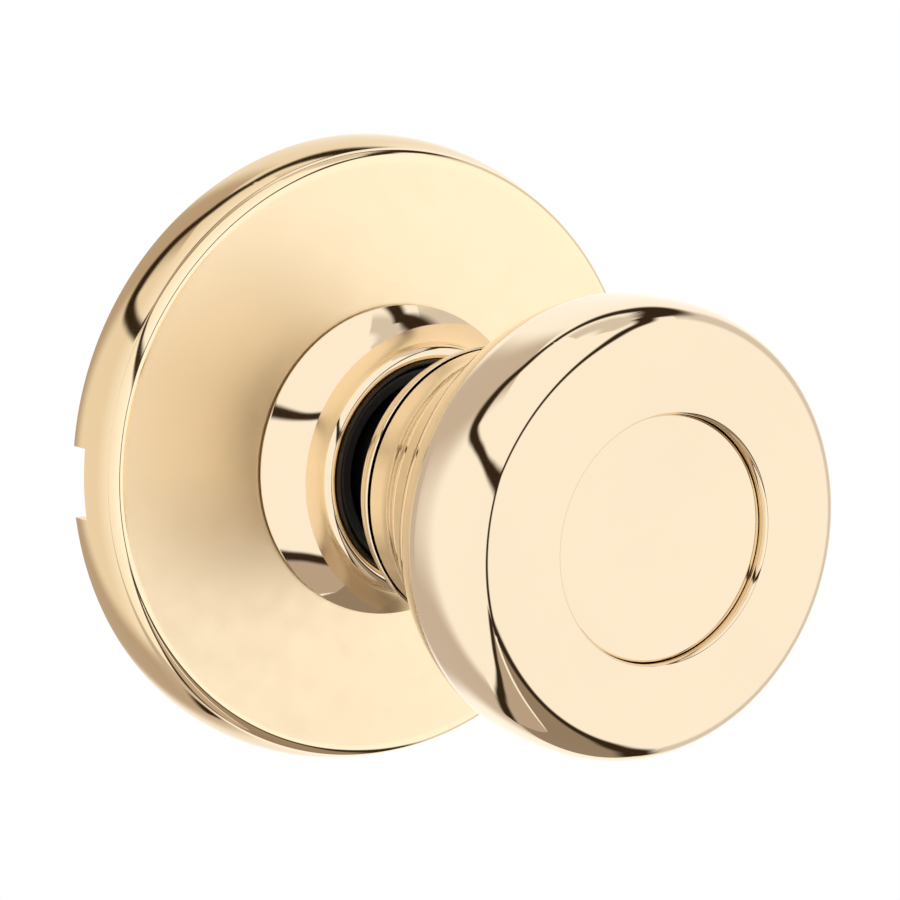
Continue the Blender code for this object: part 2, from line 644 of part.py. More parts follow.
def rivet(name, height, chassis, pieces):
    """Rivet through the plate and one ear of the housing."""
    steel = finish(f"{name}_steel", (0.62, 0.62, 0.62), 0.35, 1.0)
    front = PLATE_THICKNESS + GAP
    rear = -EAR_THICKNESS - 2.0 * GAP
    crown = RIVET_HEAD_RADIUS - 0.0005
    outline = [
        (0.0, front + RIVET_HEAD_THICKNESS),
        (crown, front + RIVET_HEAD_THICKNESS),
        (RIVET_HEAD_RADIUS, front),
        (RIVET_RADIUS, front),
        (RIVET_RADIUS, rear),
        (RIVET_HEAD_RADIUS, rear),
        (crown, rear - RIVET_HEAD_THICKNESS),
        (0.0, rear - RIVET_HEAD_THICKNESS),
    ]
    add(name, turned(name, outline, PIN_SEGMENTS), steel, chassis, (0.0, 0.0, height))
    drill(pieces, name, RIVET_RADIUS + GAP, (0.0, -0.005, height), (0.0, 0.005, height))


def return_spring(chassis):
    """Torsion spring round the sleeve. Its two legs point up, on each side of the cam's and the housing's tab."""
    spring_steel = finish("return_spring_steel", (0.40, 0.40, 0.42), 0.35, 1.0)
    points_a_turn = 18
    first = math.asin(SPRING_LEG_X / SPRING_RADIUS)
    sweep = 3.0 * math.tau - 2.0 * first
    steps = round(points_a_turn * sweep / math.tau)
    rear, front = SPRING_OUT
    points = [(SPRING_LEG_X, -front, SPRING_LEG_TOP), (SPRING_LEG_X, -front, SPRING_RADIUS + 0.0006)]
    for step in range(steps + 1):
        share = step / steps
        angle = first + sweep * share
        out = front + (rear - front) * share
        points.append((SPRING_RADIUS * math.sin(angle), -out, SPRING_RADIUS * math.cos(angle)))
    points += [(-SPRING_LEG_X, -rear, SPRING_RADIUS + 0.0006), (-SPRING_LEG_X, -rear, SPRING_LEG_TOP)]
    add("return_spring", wire("return_spring", points, SPRING_WIRE), spring_steel, chassis)


def main():
    clear_scene()
    chassis = axis_empty("chassis", (0.0, 0.0, 0.0))
    knob_axis = axis_empty("knob_axis", (0.0, 0.0, 0.0), chassis)
    catch_axis = axis_empty("catch_axis", (0.0, -CATCH_OUT, 0.0), knob_axis)
    rose_and_collar(chassis)
    plate = mounting_plate(chassis)
    spring_housing(chassis, plate)
    return_spring(chassis)
    washers(chassis, knob_axis)
    knob_shells(knob_axis)
    sleeve = drive_train(knob_axis, catch_axis)
    cam(knob_axis)
    spindle_set(knob_axis, sleeve)


main()
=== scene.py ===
"""Looks of the door knob half set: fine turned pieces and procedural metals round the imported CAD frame."""

import math

import bmesh
import bpy
from mathutils import Matrix, Vector


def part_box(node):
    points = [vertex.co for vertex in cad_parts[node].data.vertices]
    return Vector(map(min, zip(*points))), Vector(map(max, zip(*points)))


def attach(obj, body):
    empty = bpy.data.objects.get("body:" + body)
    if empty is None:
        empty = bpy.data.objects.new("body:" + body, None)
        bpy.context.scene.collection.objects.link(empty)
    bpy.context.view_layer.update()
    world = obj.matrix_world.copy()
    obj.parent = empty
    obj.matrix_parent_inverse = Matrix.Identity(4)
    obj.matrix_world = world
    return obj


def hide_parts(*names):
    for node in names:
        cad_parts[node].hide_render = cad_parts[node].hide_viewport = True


MM = 0.001
FINE = 256                # sides of the polished pieces
ROUND = 96                # sides of the machined pieces
SMALL = 64                # sides of the posts
RIVET = 48                # sides of the rivets
HOLE = 40                 # sides of drilled holes

# Camera, fitted to the outlines of the rose, the collar and the ring on the face
AZIMUTH = math.radians(-32.97)
ELEVATION = math.radians(10.72)
DISTANCE = 0.3083
SHIFT_RIGHT = 0.00977     # how far the view's centre lies from the frame's origin
SHIFT_UP = -0.00019
LENS = 116.0

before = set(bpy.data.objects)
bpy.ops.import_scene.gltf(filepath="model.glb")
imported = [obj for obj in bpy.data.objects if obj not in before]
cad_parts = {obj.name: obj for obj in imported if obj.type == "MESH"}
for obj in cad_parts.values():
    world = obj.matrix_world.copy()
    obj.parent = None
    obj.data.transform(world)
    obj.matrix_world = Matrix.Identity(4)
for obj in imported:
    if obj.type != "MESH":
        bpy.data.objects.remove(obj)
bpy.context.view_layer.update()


# ---------------------------------------------------------------- sizes taken from the frame
def radius_of(name):
    """Outer radius of a node turned round the Y axis."""
    low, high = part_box(name)
    return high.z


def reach(name):
    """Rear and front of a node, as distances out of the door's face."""
    low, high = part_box(name)
    return -high.y, -low.y


# ---------------------------------------------------------------- outlines and meshes
SMOOTH_TURN = math.radians(24.0)  # corners that turn less than this stay as they are
MOST_TRIM = 0.42          # the most of a side that a round takes away
HOLD = 0.12               # how far the holding points lie from a round, in trims


def rounded(outline, radius, steps=3, closed=True):
    """The outline with its corners rounded off, and a holding point on each side of every round."""
    result = []
    count = len(outline)
    for index, point in enumerate(outline):
        here = Vector(point)
        if not closed and index in (0, count - 1):
            result.append(tuple(here))
            continue
        before = Vector(outline[index - 1]) - here
        after = Vector(outline[(index + 1) % count]) - here
        if before.length < 1e-7 or after.length < 1e-7:
            continue
        turn = math.pi - before.angle(after)
        if turn < SMOOTH_TURN:
            result.append(tuple(here))
            continue
        trim = min(radius, MOST_TRIM * before.length, MOST_TRIM * after.length)
        start = here + before.normalized() * trim
        end = here + after.normalized() * trim
        hold = HOLD * trim
        result.append(tuple(start + before.normalized() * hold))
        for step in range(steps + 1):
            share = step / steps
            blend = start * (1 - share) ** 2 + here * 2 * share * (1 - share) + end * share ** 2
            result.append(tuple(blend))
        result.append(tuple(end + after.normalized() * hold))
    return result


def smooth(points, steps):
    """A Catmull-Rom curve through the points."""
    result = []
    for index in range(len(points) - 1):
        p0 = Vector(points[max(index - 1, 0)])
        p1 = Vector(points[index])
        p2 = Vector(points[index + 1])
        p3 = Vector(points[min(index + 2, len(points) - 1)])
        for step in range(steps):
            t = step / steps
            spot = 0.5 * (
                2 * p1 + (p2 - p0) * t + (2 * p0 - 5 * p1 + 4 * p2 - p3) * t ** 2
                + (3 * p1 - p0 - 3 * p2 + p3) * t ** 3
            )
            result.append(tuple(spot))
    result.append(tuple(points[-1]))
    return result


def offset(points, distance):
    """The outline moved sideways by the distance, to the left of its direction."""
    moved = []
    for index, (radius, out) in enumerate(points):
        before = points[max(index - 1, 0)]
        after = points[min(index + 1, len(points) - 1)]
        run = Vector((after[0] - before[0], after[1] - before[1])).normalized()
        moved.append((radius - run.y * distance, out + run.x * distance))
    return moved


def finish_mesh(bm, name):
    """A mesh with outward faces, shaded smooth but for its sharp edges."""
    bmesh.ops.recalc_face_normals(bm, faces=bm.faces)
    mesh = bpy.data.meshes.new(name)
    bm.to_mesh(mesh)
    bm.free()
    mesh.shade_smooth()
    mesh.set_sharp_from_angle(angle=math.radians(38.0))
    return mesh


def lathe(name, outline, segments=ROUND, centre=(0.0, 0.0)):
    """The closed (radius, out) outline turned round a line along Y through the centre (x, z)."""
    bm = bmesh.new()
    rings = []
    for radius, out in outline:
        if radius < 1e-7:
            rings.append([bm.verts.new((centre[0], -out, centre[1]))] * segments)
            continue
        ring = []
        for step in range(segments):
            angle = math.tau * step / segments
            x = centre[0] + radius * math.cos(angle)
            z = centre[1] + radius * math.sin(angle)
            ring.append(bm.verts.new((x, -out, z)))
        rings.append(ring)
    for ring, other in zip(rings, rings[1:] + rings[:1]):
        for step in range(segments):
            after = (step + 1) % segments
            corners = dict.fromkeys([ring[step], ring[after], other[after], other[step]])
            if len(corners) > 2:
                bm.faces.new(list(corners))
    return finish_mesh(bm, name)


def place(name, mesh, material, body, slot, *nodes):
    """Links a piece, paints it, and hands it to the frame."""
    obj = bpy.data.objects.new(name, mesh)
    bpy.context.scene.collection.objects.link(obj)
    mesh.materials.append(material)
    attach(obj, body)
    if nodes:
        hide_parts(*nodes)
    return obj


def cut(target, mesh, operation="DIFFERENCE"):
    """Cuts a helper mesh from the target, or joins it on, and applies the result."""
    tool = bpy.data.objects.new(mesh.name, mesh)
    bpy.context.scene.collection.objects.link(tool)
    modifier = target.modifiers.new("cut", "BOOLEAN")
    modifier.operation = operation
    modifier.object = tool
    graph = bpy.context.evaluated_depsgraph_get()
    made = bpy.data.meshes.new_from_object(target.evaluated_get(graph))
    target.modifiers.remove(modifier)
    old = target.data
    target.data = made
    bpy.data.meshes.remove(old)
    bpy.data.objects.remove(tool, do_unlink=True)
    made.shade_smooth()
    made.set_sharp_from_angle(angle=math.radians(30.0))


def rod(radius, start, end):
    """A round rod between two points, for drilling holes."""
    run = Vector(end) - Vector(start)
    turn = run.to_track_quat("Z", "Y").to_matrix().to_4x4()
    matrix = Matrix.Translation((Vector(start) + Vector(end)) / 2) @ turn
    bm = bmesh.new()
    bmesh.ops.create_cone(
        bm, cap_ends=True, segments=HOLE, radius1=radius, radius2=radius, depth=run.length, matrix=matrix
    )
    return finish_mesh(bm, "rod")


def box_mesh(low, high):
    """A box from its low to its high corner."""
    size = Vector(high) - Vector(low)
    centre = (Vector(high) + Vector(low)) / 2
    bm = bmesh.new()
    bmesh.ops.create_cube(bm, size=1.0, matrix=Matrix.Translation(centre) @ Matrix.Diagonal((*size, 1.0)))
    return finish_mesh(bm, "box")


# ---------------------------------------------------------------- materials
GRAIN_SPREAD = 0.25       # how much the roughness varies, as a share of itself
CLOUDING = 0.05           # how much darker the cloudy patches are
CLOUD_SCALE = 60.0
BUMP_HEIGHT = 0.02 * MM


def metal(name, colour, roughness, grain=0.0, scale=400.0, tarnish=0.0):
    """Metal with a fine grain in its roughness, a faint unevenness in its colour, and a fine bump."""
    material = bpy.data.materials.new(name)
    material.use_nodes = True
    nodes = material.node_tree.nodes
    links = material.node_tree.links
    shader = nodes["Principled BSDF"]
    shader.inputs["Metallic"].default_value = 1.0
    where = nodes.new("ShaderNodeTexCoord")

    noise = nodes.new("ShaderNodeTexNoise")
    noise.inputs["Scale"].default_value = scale
    noise.inputs["Detail"].default_value = 4.0
    links.new(where.outputs["Object"], noise.inputs["Vector"])
    span = nodes.new("ShaderNodeMapRange")
    span.inputs["To Min"].default_value = roughness * (1.0 - GRAIN_SPREAD)
    span.inputs["To Max"].default_value = roughness * (1.0 + GRAIN_SPREAD)
    links.new(noise.outputs["Fac"], span.inputs["Value"])
    links.new(span.outputs["Result"], shader.inputs["Roughness"])

    cloud = nodes.new("ShaderNodeTexNoise")
    cloud.inputs["Scale"].default_value = CLOUD_SCALE
    cloud.inputs["Detail"].default_value = 3.0
    links.new(where.outputs["Object"], cloud.inputs["Vector"])
    tint = nodes.new("ShaderNodeMix")
    tint.data_type = "RGBA"
    darker = [c * (1.0 - CLOUDING - tarnish) for c in colour]
    tint.inputs["A"].default_value = (*colour, 1.0)
    tint.inputs["B"].default_value = (*darker, 1.0)
    links.new(cloud.outputs["Fac"], tint.inputs["Factor"])
    links.new(tint.outputs["Result"], shader.inputs["Base Color"])

    if grain:
        bump = nodes.new("ShaderNodeBump")
        bump.inputs["Strength"].default_value = grain
        bump.inputs["Distance"].default_value = BUMP_HEIGHT
        links.new(noise.outputs["Fac"], bump.inputs["Height"])
        links.new(bump.outputs["Normal"], shader.inputs["Normal"])
    return material


RIM_BLEND = 0.2 * MM      # half the width of the change from the rough face to the smooth rim
WALL_SHADE = (0.6 * MM, 1.8 * MM)  # where the painted shade on the side wall begins and is full, past the rim's radius


def polish_and_shade_rim(material, radius, roughness, shade):
    """Makes the metal smoother outside a radius round the Y axis, and darkens its colour a little further
    out with painted shade on the side wall.
    """
    nodes = material.node_tree.nodes
    links = material.node_tree.links
    shader = nodes["Principled BSDF"]
    where = nodes.new("ShaderNodeTexCoord")
    flat = nodes.new("ShaderNodeVectorMath")
    flat.operation = "MULTIPLY"
    flat.inputs[1].default_value = (1.0, 0.0, 1.0)
    links.new(where.outputs["Object"], flat.inputs[0])
    size = nodes.new("ShaderNodeVectorMath")
    size.operation = "LENGTH"
    links.new(flat.outputs["Vector"], size.inputs[0])
    rim = nodes.new("ShaderNodeMapRange")
    rim.inputs["From Min"].default_value = radius - RIM_BLEND
    rim.inputs["From Max"].default_value = radius + RIM_BLEND
    links.new(size.outputs["Value"], rim.inputs["Value"])
    rough = nodes.new("ShaderNodeMix")
    rough.inputs["B"].default_value = roughness
    links.new(rim.outputs["Result"], rough.inputs["Factor"])
    links.new(shader.inputs["Roughness"].links[0].from_socket, rough.inputs["A"])
    links.new(rough.outputs["Result"], shader.inputs["Roughness"])
    # Painted shade: the side wall's colour is multiplied by the shade colour, fading in past the rim's
    # radius
    wall = nodes.new("ShaderNodeMapRange")
    wall.inputs["From Min"].default_value = radius + WALL_SHADE[0]
    wall.inputs["From Max"].default_value = radius + WALL_SHADE[1]
    links.new(size.outputs["Value"], wall.inputs["Value"])
    painted_wall_shade = nodes.new("ShaderNodeMix")
    painted_wall_shade.data_type = "RGBA"
    painted_wall_shade.blend_type = "MULTIPLY"
    painted_wall_shade.inputs["B"].default_value = (*shade, 1.0)
    links.new(wall.outputs["Result"], painted_wall_shade.inputs["Factor"])
    links.new(shader.inputs["Base Color"].links[0].from_socket, painted_wall_shade.inputs["A"])
    links.new(painted_wall_shade.outputs["Result"], shader.inputs["Base Color"])


def plastic(name, colour, roughness):
    """Moulded plastic with a fine grain."""
    material = metal(name, colour, roughness, 0.3, 900.0)
    material.node_tree.nodes["Principled BSDF"].inputs["Metallic"].default_value = 0.0
    return material


BRASS = (0.88, 0.755, 0.575)
knob_brass = metal("knob_brass", BRASS, 0.035)
rose_brass = metal("rose_brass", (1.0, 0.84, 0.60), 0.36)
# The rose gets a smoother rim, and painted shade darkens its side wall
polish_and_shade_rim(rose_brass, 30.9 * MM, 0.06, (0.74, 0.68, 0.58))
collar_brass = metal("collar_brass", BRASS, 0.045)
black_nylon = plastic("black_nylon", (0.012, 0.011, 0.011), 0.5)
pale_nylon = plastic("pale_nylon", (0.72, 0.69, 0.62), 0.45)
zinc = metal("cast_zinc", (0.50, 0.50, 0.52), 0.5, 0.6, 700.0, 0.1)
plated_steel = metal("plated_steel", (0.62, 0.57, 0.42), 0.32, 0.4, 500.0, 0.15)
bright_plate = metal("bright_plate", (0.66, 0.60, 0.46), 0.26, 0.3, 600.0, 0.12)
bright_steel = metal("bright_steel", (0.63, 0.63, 0.64), 0.25, 0.3, 600.0, 0.1)
dark_steel = metal("dark_steel", (0.25, 0.25, 0.27), 0.35, 0.3, 600.0, 0.1)
black_oxide = metal("black_oxide", (0.05, 0.045, 0.045), 0.4, 0.3, 600.0, 0.1)

# ---------------------------------------------------------------- rose and collar
SHEET = 0.9 * MM
GAP = 0.3 * MM
rose_front = reach("rose_cover")[1]
ROSE_RADIUS = radius_of("rose_cover")
ROSE_TAPER = 1.2 * MM
ROSE_EDGE = 1.2 * MM
ROSE_DOME = 1.0 * MM
ROSE_BORE = 15.0 * MM
ROSE_DEPTH = rose_front - ROSE_DOME


def rose_outline():
    """Pressed dish: a rim that curves in, a rounded edge and a slightly domed front."""
    steps = 24
    edge = (ROSE_RADIUS - ROSE_TAPER - ROSE_EDGE, ROSE_DEPTH - ROSE_EDGE)
    outer = []
    for step in range(steps):
        share = step / steps
        outer.append((ROSE_RADIUS - ROSE_TAPER * share ** 2, edge[1] * share))
    for step in range(steps + 1):
        angle = math.pi / 2 * step / steps
        outer.append((edge[0] + ROSE_EDGE * math.cos(angle), edge[1] + ROSE_EDGE * math.sin(angle)))
    for step in range(1, steps + 1):
        radius = edge[0] + (ROSE_BORE - edge[0]) * step / steps
        rise = ROSE_DOME * (edge[0] ** 2 - radius ** 2) / (edge[0] ** 2 - ROSE_BORE ** 2)
        outer.append((radius, ROSE_DEPTH + rise))
    inner = offset(outer, SHEET)
    inner[0] = (ROSE_RADIUS - SHEET, 0.0)
    return outer + inner[::-1]


rose = place("rose", lathe("rose", rose_outline(), FINE), rose_brass, "chassis", "rose_brass", "rose_cover")


# The pry slot in the rose's rear edge
SLOT_HALF = 3.65 * MM
SLOT_DEEP = 2.1 * MM
cut(rose, box_mesh((-0.036, -SLOT_DEEP, -SLOT_HALF), (-0.0305, 0.001, SLOT_HALF)))


def collar_outline():
    """A hollow flank like a trumpet's and a rolled lip round the black bushing."""
    steps = 28
    foot = rose_front + GAP
    front = reach("neck_collar")[1]
    base, waist, waist_out = 16.3 * MM, 12.95 * MM, 14.0 * MM
    flank = [(base, foot)]
    for step in range(steps + 1):
        share = step / steps
        out = foot + 0.2 * MM + (waist_out - foot - 0.2 * MM) * share
        flank.append((waist + (base - waist) * (1.0 - share) ** 2, out))
    lip = smooth(
        [
            (12.95 * MM, waist_out + 0.3 * MM),
            (12.9 * MM, front - 0.7 * MM),
            (12.65 * MM, front - 0.25 * MM),
            (12.2 * MM, front - 0.03 * MM),
            (11.7 * MM, front),
            (11.3 * MM, front - 0.15 * MM),
            (11.1 * MM, front - 0.5 * MM),
        ],
        10,
    )
    back = [
        (11.1 * MM, 12.5 * MM),
        (12.3 * MM, 12.5 * MM),
        (12.3 * MM, 4.6 * MM),
        (15.9 * MM, 4.6 * MM),
        (15.9 * MM, 5.8 * MM),
        (14.7 * MM, 5.8 * MM),
        (14.7 * MM, foot),
    ]
    return rounded(flank + lip + back, 0.12 * MM)


def bushing_outline():
    """Nylon bushing, with a nose that fills the collar's mouth round the shank."""
    front = reach("neck_collar")[1] - 1.0 * MM
    return rounded(
        [
            (9.5 * MM, 5.4 * MM),
            (9.5 * MM, front),
            (10.75 * MM, front),
            (10.75 * MM, 12.2 * MM),
            (12.0 * MM, 12.2 * MM),
            (12.0 * MM, 5.4 * MM),
        ],
        0.3 * MM,
    )


collar = lathe("collar", collar_outline(), FINE)
place("collar", collar, collar_brass, "chassis", "collar_brass", "neck_collar")

bushing = lathe("bushing", bushing_outline(), ROUND)
place("bushing", bushing, black_nylon, "chassis", "bushing_nylon", "collar_bushing")

# ---------------------------------------------------------------- knob
KNOB_RADIUS = radius_of("knob_shell")
FACE = reach("knob_shell")[1]
WIDEST = 45.7 * MM
FACE_FLAT = 16.6 * MM
FRONT_POWER = 3.27
BACK_POWER = 1.69
BACK_CENTRE = 10.8 * MM
BACK_DEPTH = 12.2 * MM
RECESS = 11.6 * MM
LIP_ROUND = 0.55 * MM
DISC_THICKNESS = 1.0 * MM
SEAM = 36.5 * MM
NECK = 14.0 * MM
RING_REAR, RING_FRONT = reach("neck_ring")


def superellipse(centre_radius, depth, power, steps, last=math.pi / 2):
    """A round-over from the widest ring towards the face or, with a negative depth, the neck."""
    points = []
    for step in range(steps + 1):
        angle = last * step / steps
        radius = centre_radius + (KNOB_RADIUS - centre_radius) * max(math.cos(angle), 0.0) ** (2 / power)
        points.append((radius, WIDEST + depth * math.sin(angle) ** (2 / power)))
    return points


def shell_outline():
    """From the seam over the widest ring and the face to the lip of the recess."""
    seam_angle = math.asin(((WIDEST - SEAM) / BACK_DEPTH) ** (BACK_POWER / 2))
    back = superellipse(BACK_CENTRE, -BACK_DEPTH, BACK_POWER, 48, seam_angle)
    front = superellipse(FACE_FLAT, FACE - WIDEST, FRONT_POWER, 80)
    lip = [(RECESS + 2.5 * MM, FACE), (RECESS, FACE), (RECESS, FACE - 2.1 * MM)]
    outer = back[::-1] + front[1:] + lip
    coarse = outer[::3]
    coarse[-1:] = lip[1:]
    return rounded(outer + offset(coarse, SHEET)[::-1], LIP_ROUND, 6)


def neck_outline():
    """A short tube that flares into a bell, up to the seam."""
    outer = smooth(
        [
            (NECK, RING_FRONT + GAP),
            (NECK, 26.6 * MM),
            (NECK + 0.05 * MM, 27.8 * MM),
            (14.30 * MM, 29.0 * MM),
            (14.85 * MM, 30.2 * MM),
            (15.90 * MM, 32.4 * MM),
            (16.55 * MM, 34.5 * MM),
            (17.05 * MM, SEAM - GAP),
        ],
        10,
    )
    return rounded(outer + offset(outer[::5], SHEET)[::-1], 0.12 * MM)


def ring_outline():
    """End ring of the neck, with a rounded rear edge and a flat rear wall."""
    return rounded(
        smooth(
            [
                (12.2 * MM, RING_REAR),
                (12.85 * MM, RING_REAR + 0.25 * MM),
                (13.5 * MM, RING_REAR + 1.2 * MM),
                (14.0 * MM, RING_REAR + 2.4 * MM),
                (14.2 * MM, RING_FRONT - 0.3 * MM),
                (14.15 * MM, RING_FRONT),
            ],
            10,
        )
        + [
            (12.9 * MM, RING_FRONT),
            (12.9 * MM, RING_REAR + 1.6 * MM),
            (9.5 * MM, RING_REAR + 1.6 * MM),
            (9.5 * MM, RING_REAR),
        ],
        0.1 * MM,
    )


def disc_outline():
    """The disc that fills the recess, with a rounded edge."""
    top = reach("centre_disc")[1]
    edge = RECESS - 0.05 * MM
    rear = top - DISC_THICKNESS
    hub = edge * 0.3
    rim = rounded([(hub, top), (edge, top), (edge, rear), (hub, rear)], 0.3 * MM, 5, False)
    return [(0.0, top)] + rim + [(0.0, rear)]


# The hole under the neck, through which a pin presses the catch
TOOL_HOLE = 1.3 * MM
CATCH_OUT = 28.0 * MM

shell = lathe("knob_front", shell_outline(), FINE)
place("knob_front", shell, knob_brass, "knob", "knob_brass", "knob_shell")
flare = lathe("neck_flare", neck_outline(), FINE)
neck = place("neck_flare", flare, collar_brass, "knob", "neck_brass", "knob_neck")
cut(neck, rod(TOOL_HOLE, (0.0, -CATCH_OUT, -0.011), (0.0, -CATCH_OUT, -0.016)))
end_ring = lathe("neck_end_ring", ring_outline(), FINE)
place("neck_end_ring", end_ring, collar_brass, "knob", "ring_brass", "neck_ring")
disc = lathe("face_disc", disc_outline(), FINE)
place("face_disc", disc, knob_brass, "knob", "disc_brass", "centre_disc")

# ---------------------------------------------------------------- chassis behind the rose
PLATE = 1.5 * MM
BORE = 7.6 * MM           # round the sleeve
POST_X = 19.05 * MM       # half the posts' spacing
RIVET_Z = 18.2 * MM
STOP_TURN = 80.5          # degrees from each ear to its stop
THREADS = 17              # ring-shaped thread grooves in a post's bore
PITCH = 0.72              # millimetres from one groove to the next


def turned_box(low, high, degrees):
    """A box turned about the knob's axis."""
    mesh = box_mesh(low, high)
    mesh.transform(Matrix.Rotation(math.radians(degrees), 4, "Y"))
    return mesh


def plate_outline():
    """Plate with a relieved middle, a land on the door's face and a turned-up rim."""
    return rounded(
        [
            (BORE, 0.2 * MM),
            (26.5 * MM, 0.2 * MM),
            (27.0 * MM, 0.0),
            (31.5 * MM, 0.0),
            (31.5 * MM, 3.0 * MM),
            (30.5 * MM, 3.0 * MM),
            (30.5 * MM, PLATE),
            (BORE, PLATE),
        ],
        0.3 * MM,
    )


def post_outline():
    """Staked head, tenon and body, with a threaded bore that opens at the rear."""
    outline = [
        (0.0, 2.8 * MM),
        (3.1 * MM, 2.8 * MM),
        (3.6 * MM, 2.5 * MM),
        (3.8 * MM, 1.8 * MM),
        (2.1 * MM, 1.8 * MM),
        (2.1 * MM, -0.3 * MM),
        (3.1 * MM, -0.3 * MM),
        (3.3 * MM, -0.5 * MM),
        (3.3 * MM, -17.7 * MM),
        (3.0 * MM, -18.0 * MM),
        (2.3 * MM, -18.0 * MM),
    ]
    for turn in range(THREADS):
        out = (-17.6 + PITCH * turn) * MM
        outline += [(1.9 * MM, out), (2.15 * MM, out + PITCH / 2 * MM)]
    return outline + [(1.9 * MM, -5.2 * MM), (0.0, -4.2 * MM)]


def rivet_outline():
    """Shank between two domed heads."""
    return [
        (0.0, 2.6 * MM),
        (1.0 * MM, 2.5 * MM),
        (1.8 * MM, 2.25 * MM),
        (2.4 * MM, 1.8 * MM),
        (1.2 * MM, 1.8 * MM),
        (1.2 * MM, -1.9 * MM),
        (2.4 * MM, -1.9 * MM),
        (1.8 * MM, -2.35 * MM),
        (1.0 * MM, -2.6 * MM),
        (0.0, -2.7 * MM),
    ]


round_plate = lathe("plate", plate_outline(), FINE)
plate = place("plate", round_plate, plated_steel, "chassis", "plate_steel", "mounting_plate")
for side, x in (("left", -POST_X), ("right", POST_X)):
    cut(plate, rod(2.4 * MM, (x, -0.005, 0.0), (x, 0.005, 0.0)))
    post = lathe(f"post_{side}", post_outline(), SMALL, (x, 0.0))
    place(f"post_{side}", post, bright_plate, "chassis", "post_steel", f"mounting_post_{side}")

housing_outline = rounded(
    [
        (14.0 * MM, -0.3 * MM),
        (15.2 * MM, -0.3 * MM),
        (15.2 * MM, -10.4 * MM),
        (BORE, -10.4 * MM),
        (BORE, -9.1 * MM),
        (14.0 * MM, -9.1 * MM),
    ],
    0.9 * MM,
    6,
)
cup = lathe("housing", housing_outline, FINE)
housing = place("housing", cup, plated_steel, "chassis", "plate_steel", "spring_housing")
# Each side has an ear on the housing, a stop for the cam's lug inside it, and a rivet
for side, sign in (("lower", -1.0), ("upper", 1.0)):
    low, high = sorted((sign * 14.6 * MM, sign * 21.0 * MM))
    cut(housing, box_mesh((-4.0 * MM, 0.3 * MM, low), (4.0 * MM, 1.6 * MM, high)), "UNION")
    stop = turned_box((-1.4 * MM, 6.2 * MM, 11.6 * MM), (1.4 * MM, 9.6 * MM, 14.6 * MM), sign * STOP_TURN)
    cut(housing, stop, "UNION")
    z = sign * RIVET_Z
    for piece in (plate, housing):
        cut(piece, rod(1.5 * MM, (0.0, -0.005, z), (0.0, 0.005, z)))
    rivet = lathe(f"rivet_{side}", rivet_outline(), RIVET, (0.0, z))
    place(f"rivet_{side}", rivet, bright_steel, "chassis", "rivet_steel", f"housing_rivet_{side}")
# Tab between the return spring's legs
cut(housing, box_mesh((-1.6 * MM, 1.8 * MM, 12.7 * MM), (1.6 * MM, 5.4 * MM, 14.6 * MM)), "UNION")

# ---------------------------------------------------------------- carried-over nodes
finishes = {
    "return_spring": dark_steel,
    "thrust_washer": pale_nylon,
    "wave_washer": dark_steel,
    "knob_core": zinc,
    "knob_shank": black_oxide,
    "drive_sleeve": plated_steel,
    "drive_cam": plated_steel,
    "retaining_ring": dark_steel,
    "spindle_socket": zinc,
    "spindle": bright_steel,
    "spindle_pin": bright_steel,
    "catch_spring": dark_steel,
    "knob_catch": bright_steel,
}
for name, material in finishes.items():
    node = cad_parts[name]
    node.data.materials.clear()
    node.data.materials.append(material)


# ---------------------------------------------------------------- studio
FADE_FROM = 0.35          # where a soft ribbon starts to fade: 0 is its middle, 1 its edge


def emitter(name, colour, soft=False):
    """A glowing material; a soft one fades out across the ribbon, from its middle to its two edges."""
    material = bpy.data.materials.new(name)
    material.use_nodes = True
    nodes = material.node_tree.nodes
    links = material.node_tree.links
    nodes.clear()
    out = nodes.new("ShaderNodeOutputMaterial")
    glow = nodes.new("ShaderNodeEmission")
    glow.inputs["Color"].default_value = (*colour, 1.0)
    if not soft:
        links.new(glow.outputs["Emission"], out.inputs["Surface"])
        return material
    across = nodes.new("ShaderNodeAttribute")
    across.attribute_name = "across"
    fade = nodes.new("ShaderNodeMapRange")
    fade.interpolation_type = "SMOOTHSTEP"
    fade.inputs["From Min"].default_value = 1.0
    fade.inputs["From Max"].default_value = FADE_FROM
    links.new(across.outputs["Fac"], fade.inputs["Value"])
    clear = nodes.new("ShaderNodeBsdfTransparent")
    blend = nodes.new("ShaderNodeMixShader")
    links.new(fade.outputs["Result"], blend.inputs["Fac"])
    links.new(clear.outputs["BSDF"], blend.inputs[1])
    links.new(glow.outputs["Emission"], blend.inputs[2])
    links.new(blend.outputs["Shader"], out.inputs["Surface"])
    return material


SEAMS_FAR = 1.2           # the seams hang in front of the cloths, and the table lies behind them all
CLOTHS_FAR = 1.3
TOP_CLOTH_FAR = 1.35
TABLE_FAR = 1.4
CURVE_STEPS = 6
TENT_COLOUR = (1.0, 0.97, 0.93)
TENT_STRENGTH = 1.15


def towards(azimuth, elevation):
    """Direction from the object: azimuth 0 is straight out of the door and +90 is to the right."""
    azimuth = math.radians(azimuth)
    elevation = math.radians(elevation)
    level = math.cos(elevation)
    return Vector((math.sin(azimuth) * level, -math.cos(azimuth) * level, math.sin(elevation)))


def stage_piece(bm, name, material):
    """A piece of the studio, which isn't part of the object."""
    mesh = bpy.data.meshes.new(name)
    bm.to_mesh(mesh)
    bm.free()
    mesh.materials.append(material)
    obj = bpy.data.objects.new(name, mesh)
    bpy.context.scene.collection.objects.link(obj)
    return obj


def only_reflected(obj):
    """Keeps a stage piece out of the picture and of the shadows, so that it shows in reflections only."""
    obj.visible_camera = False
    obj.visible_shadow = False
    obj.visible_diffuse = False


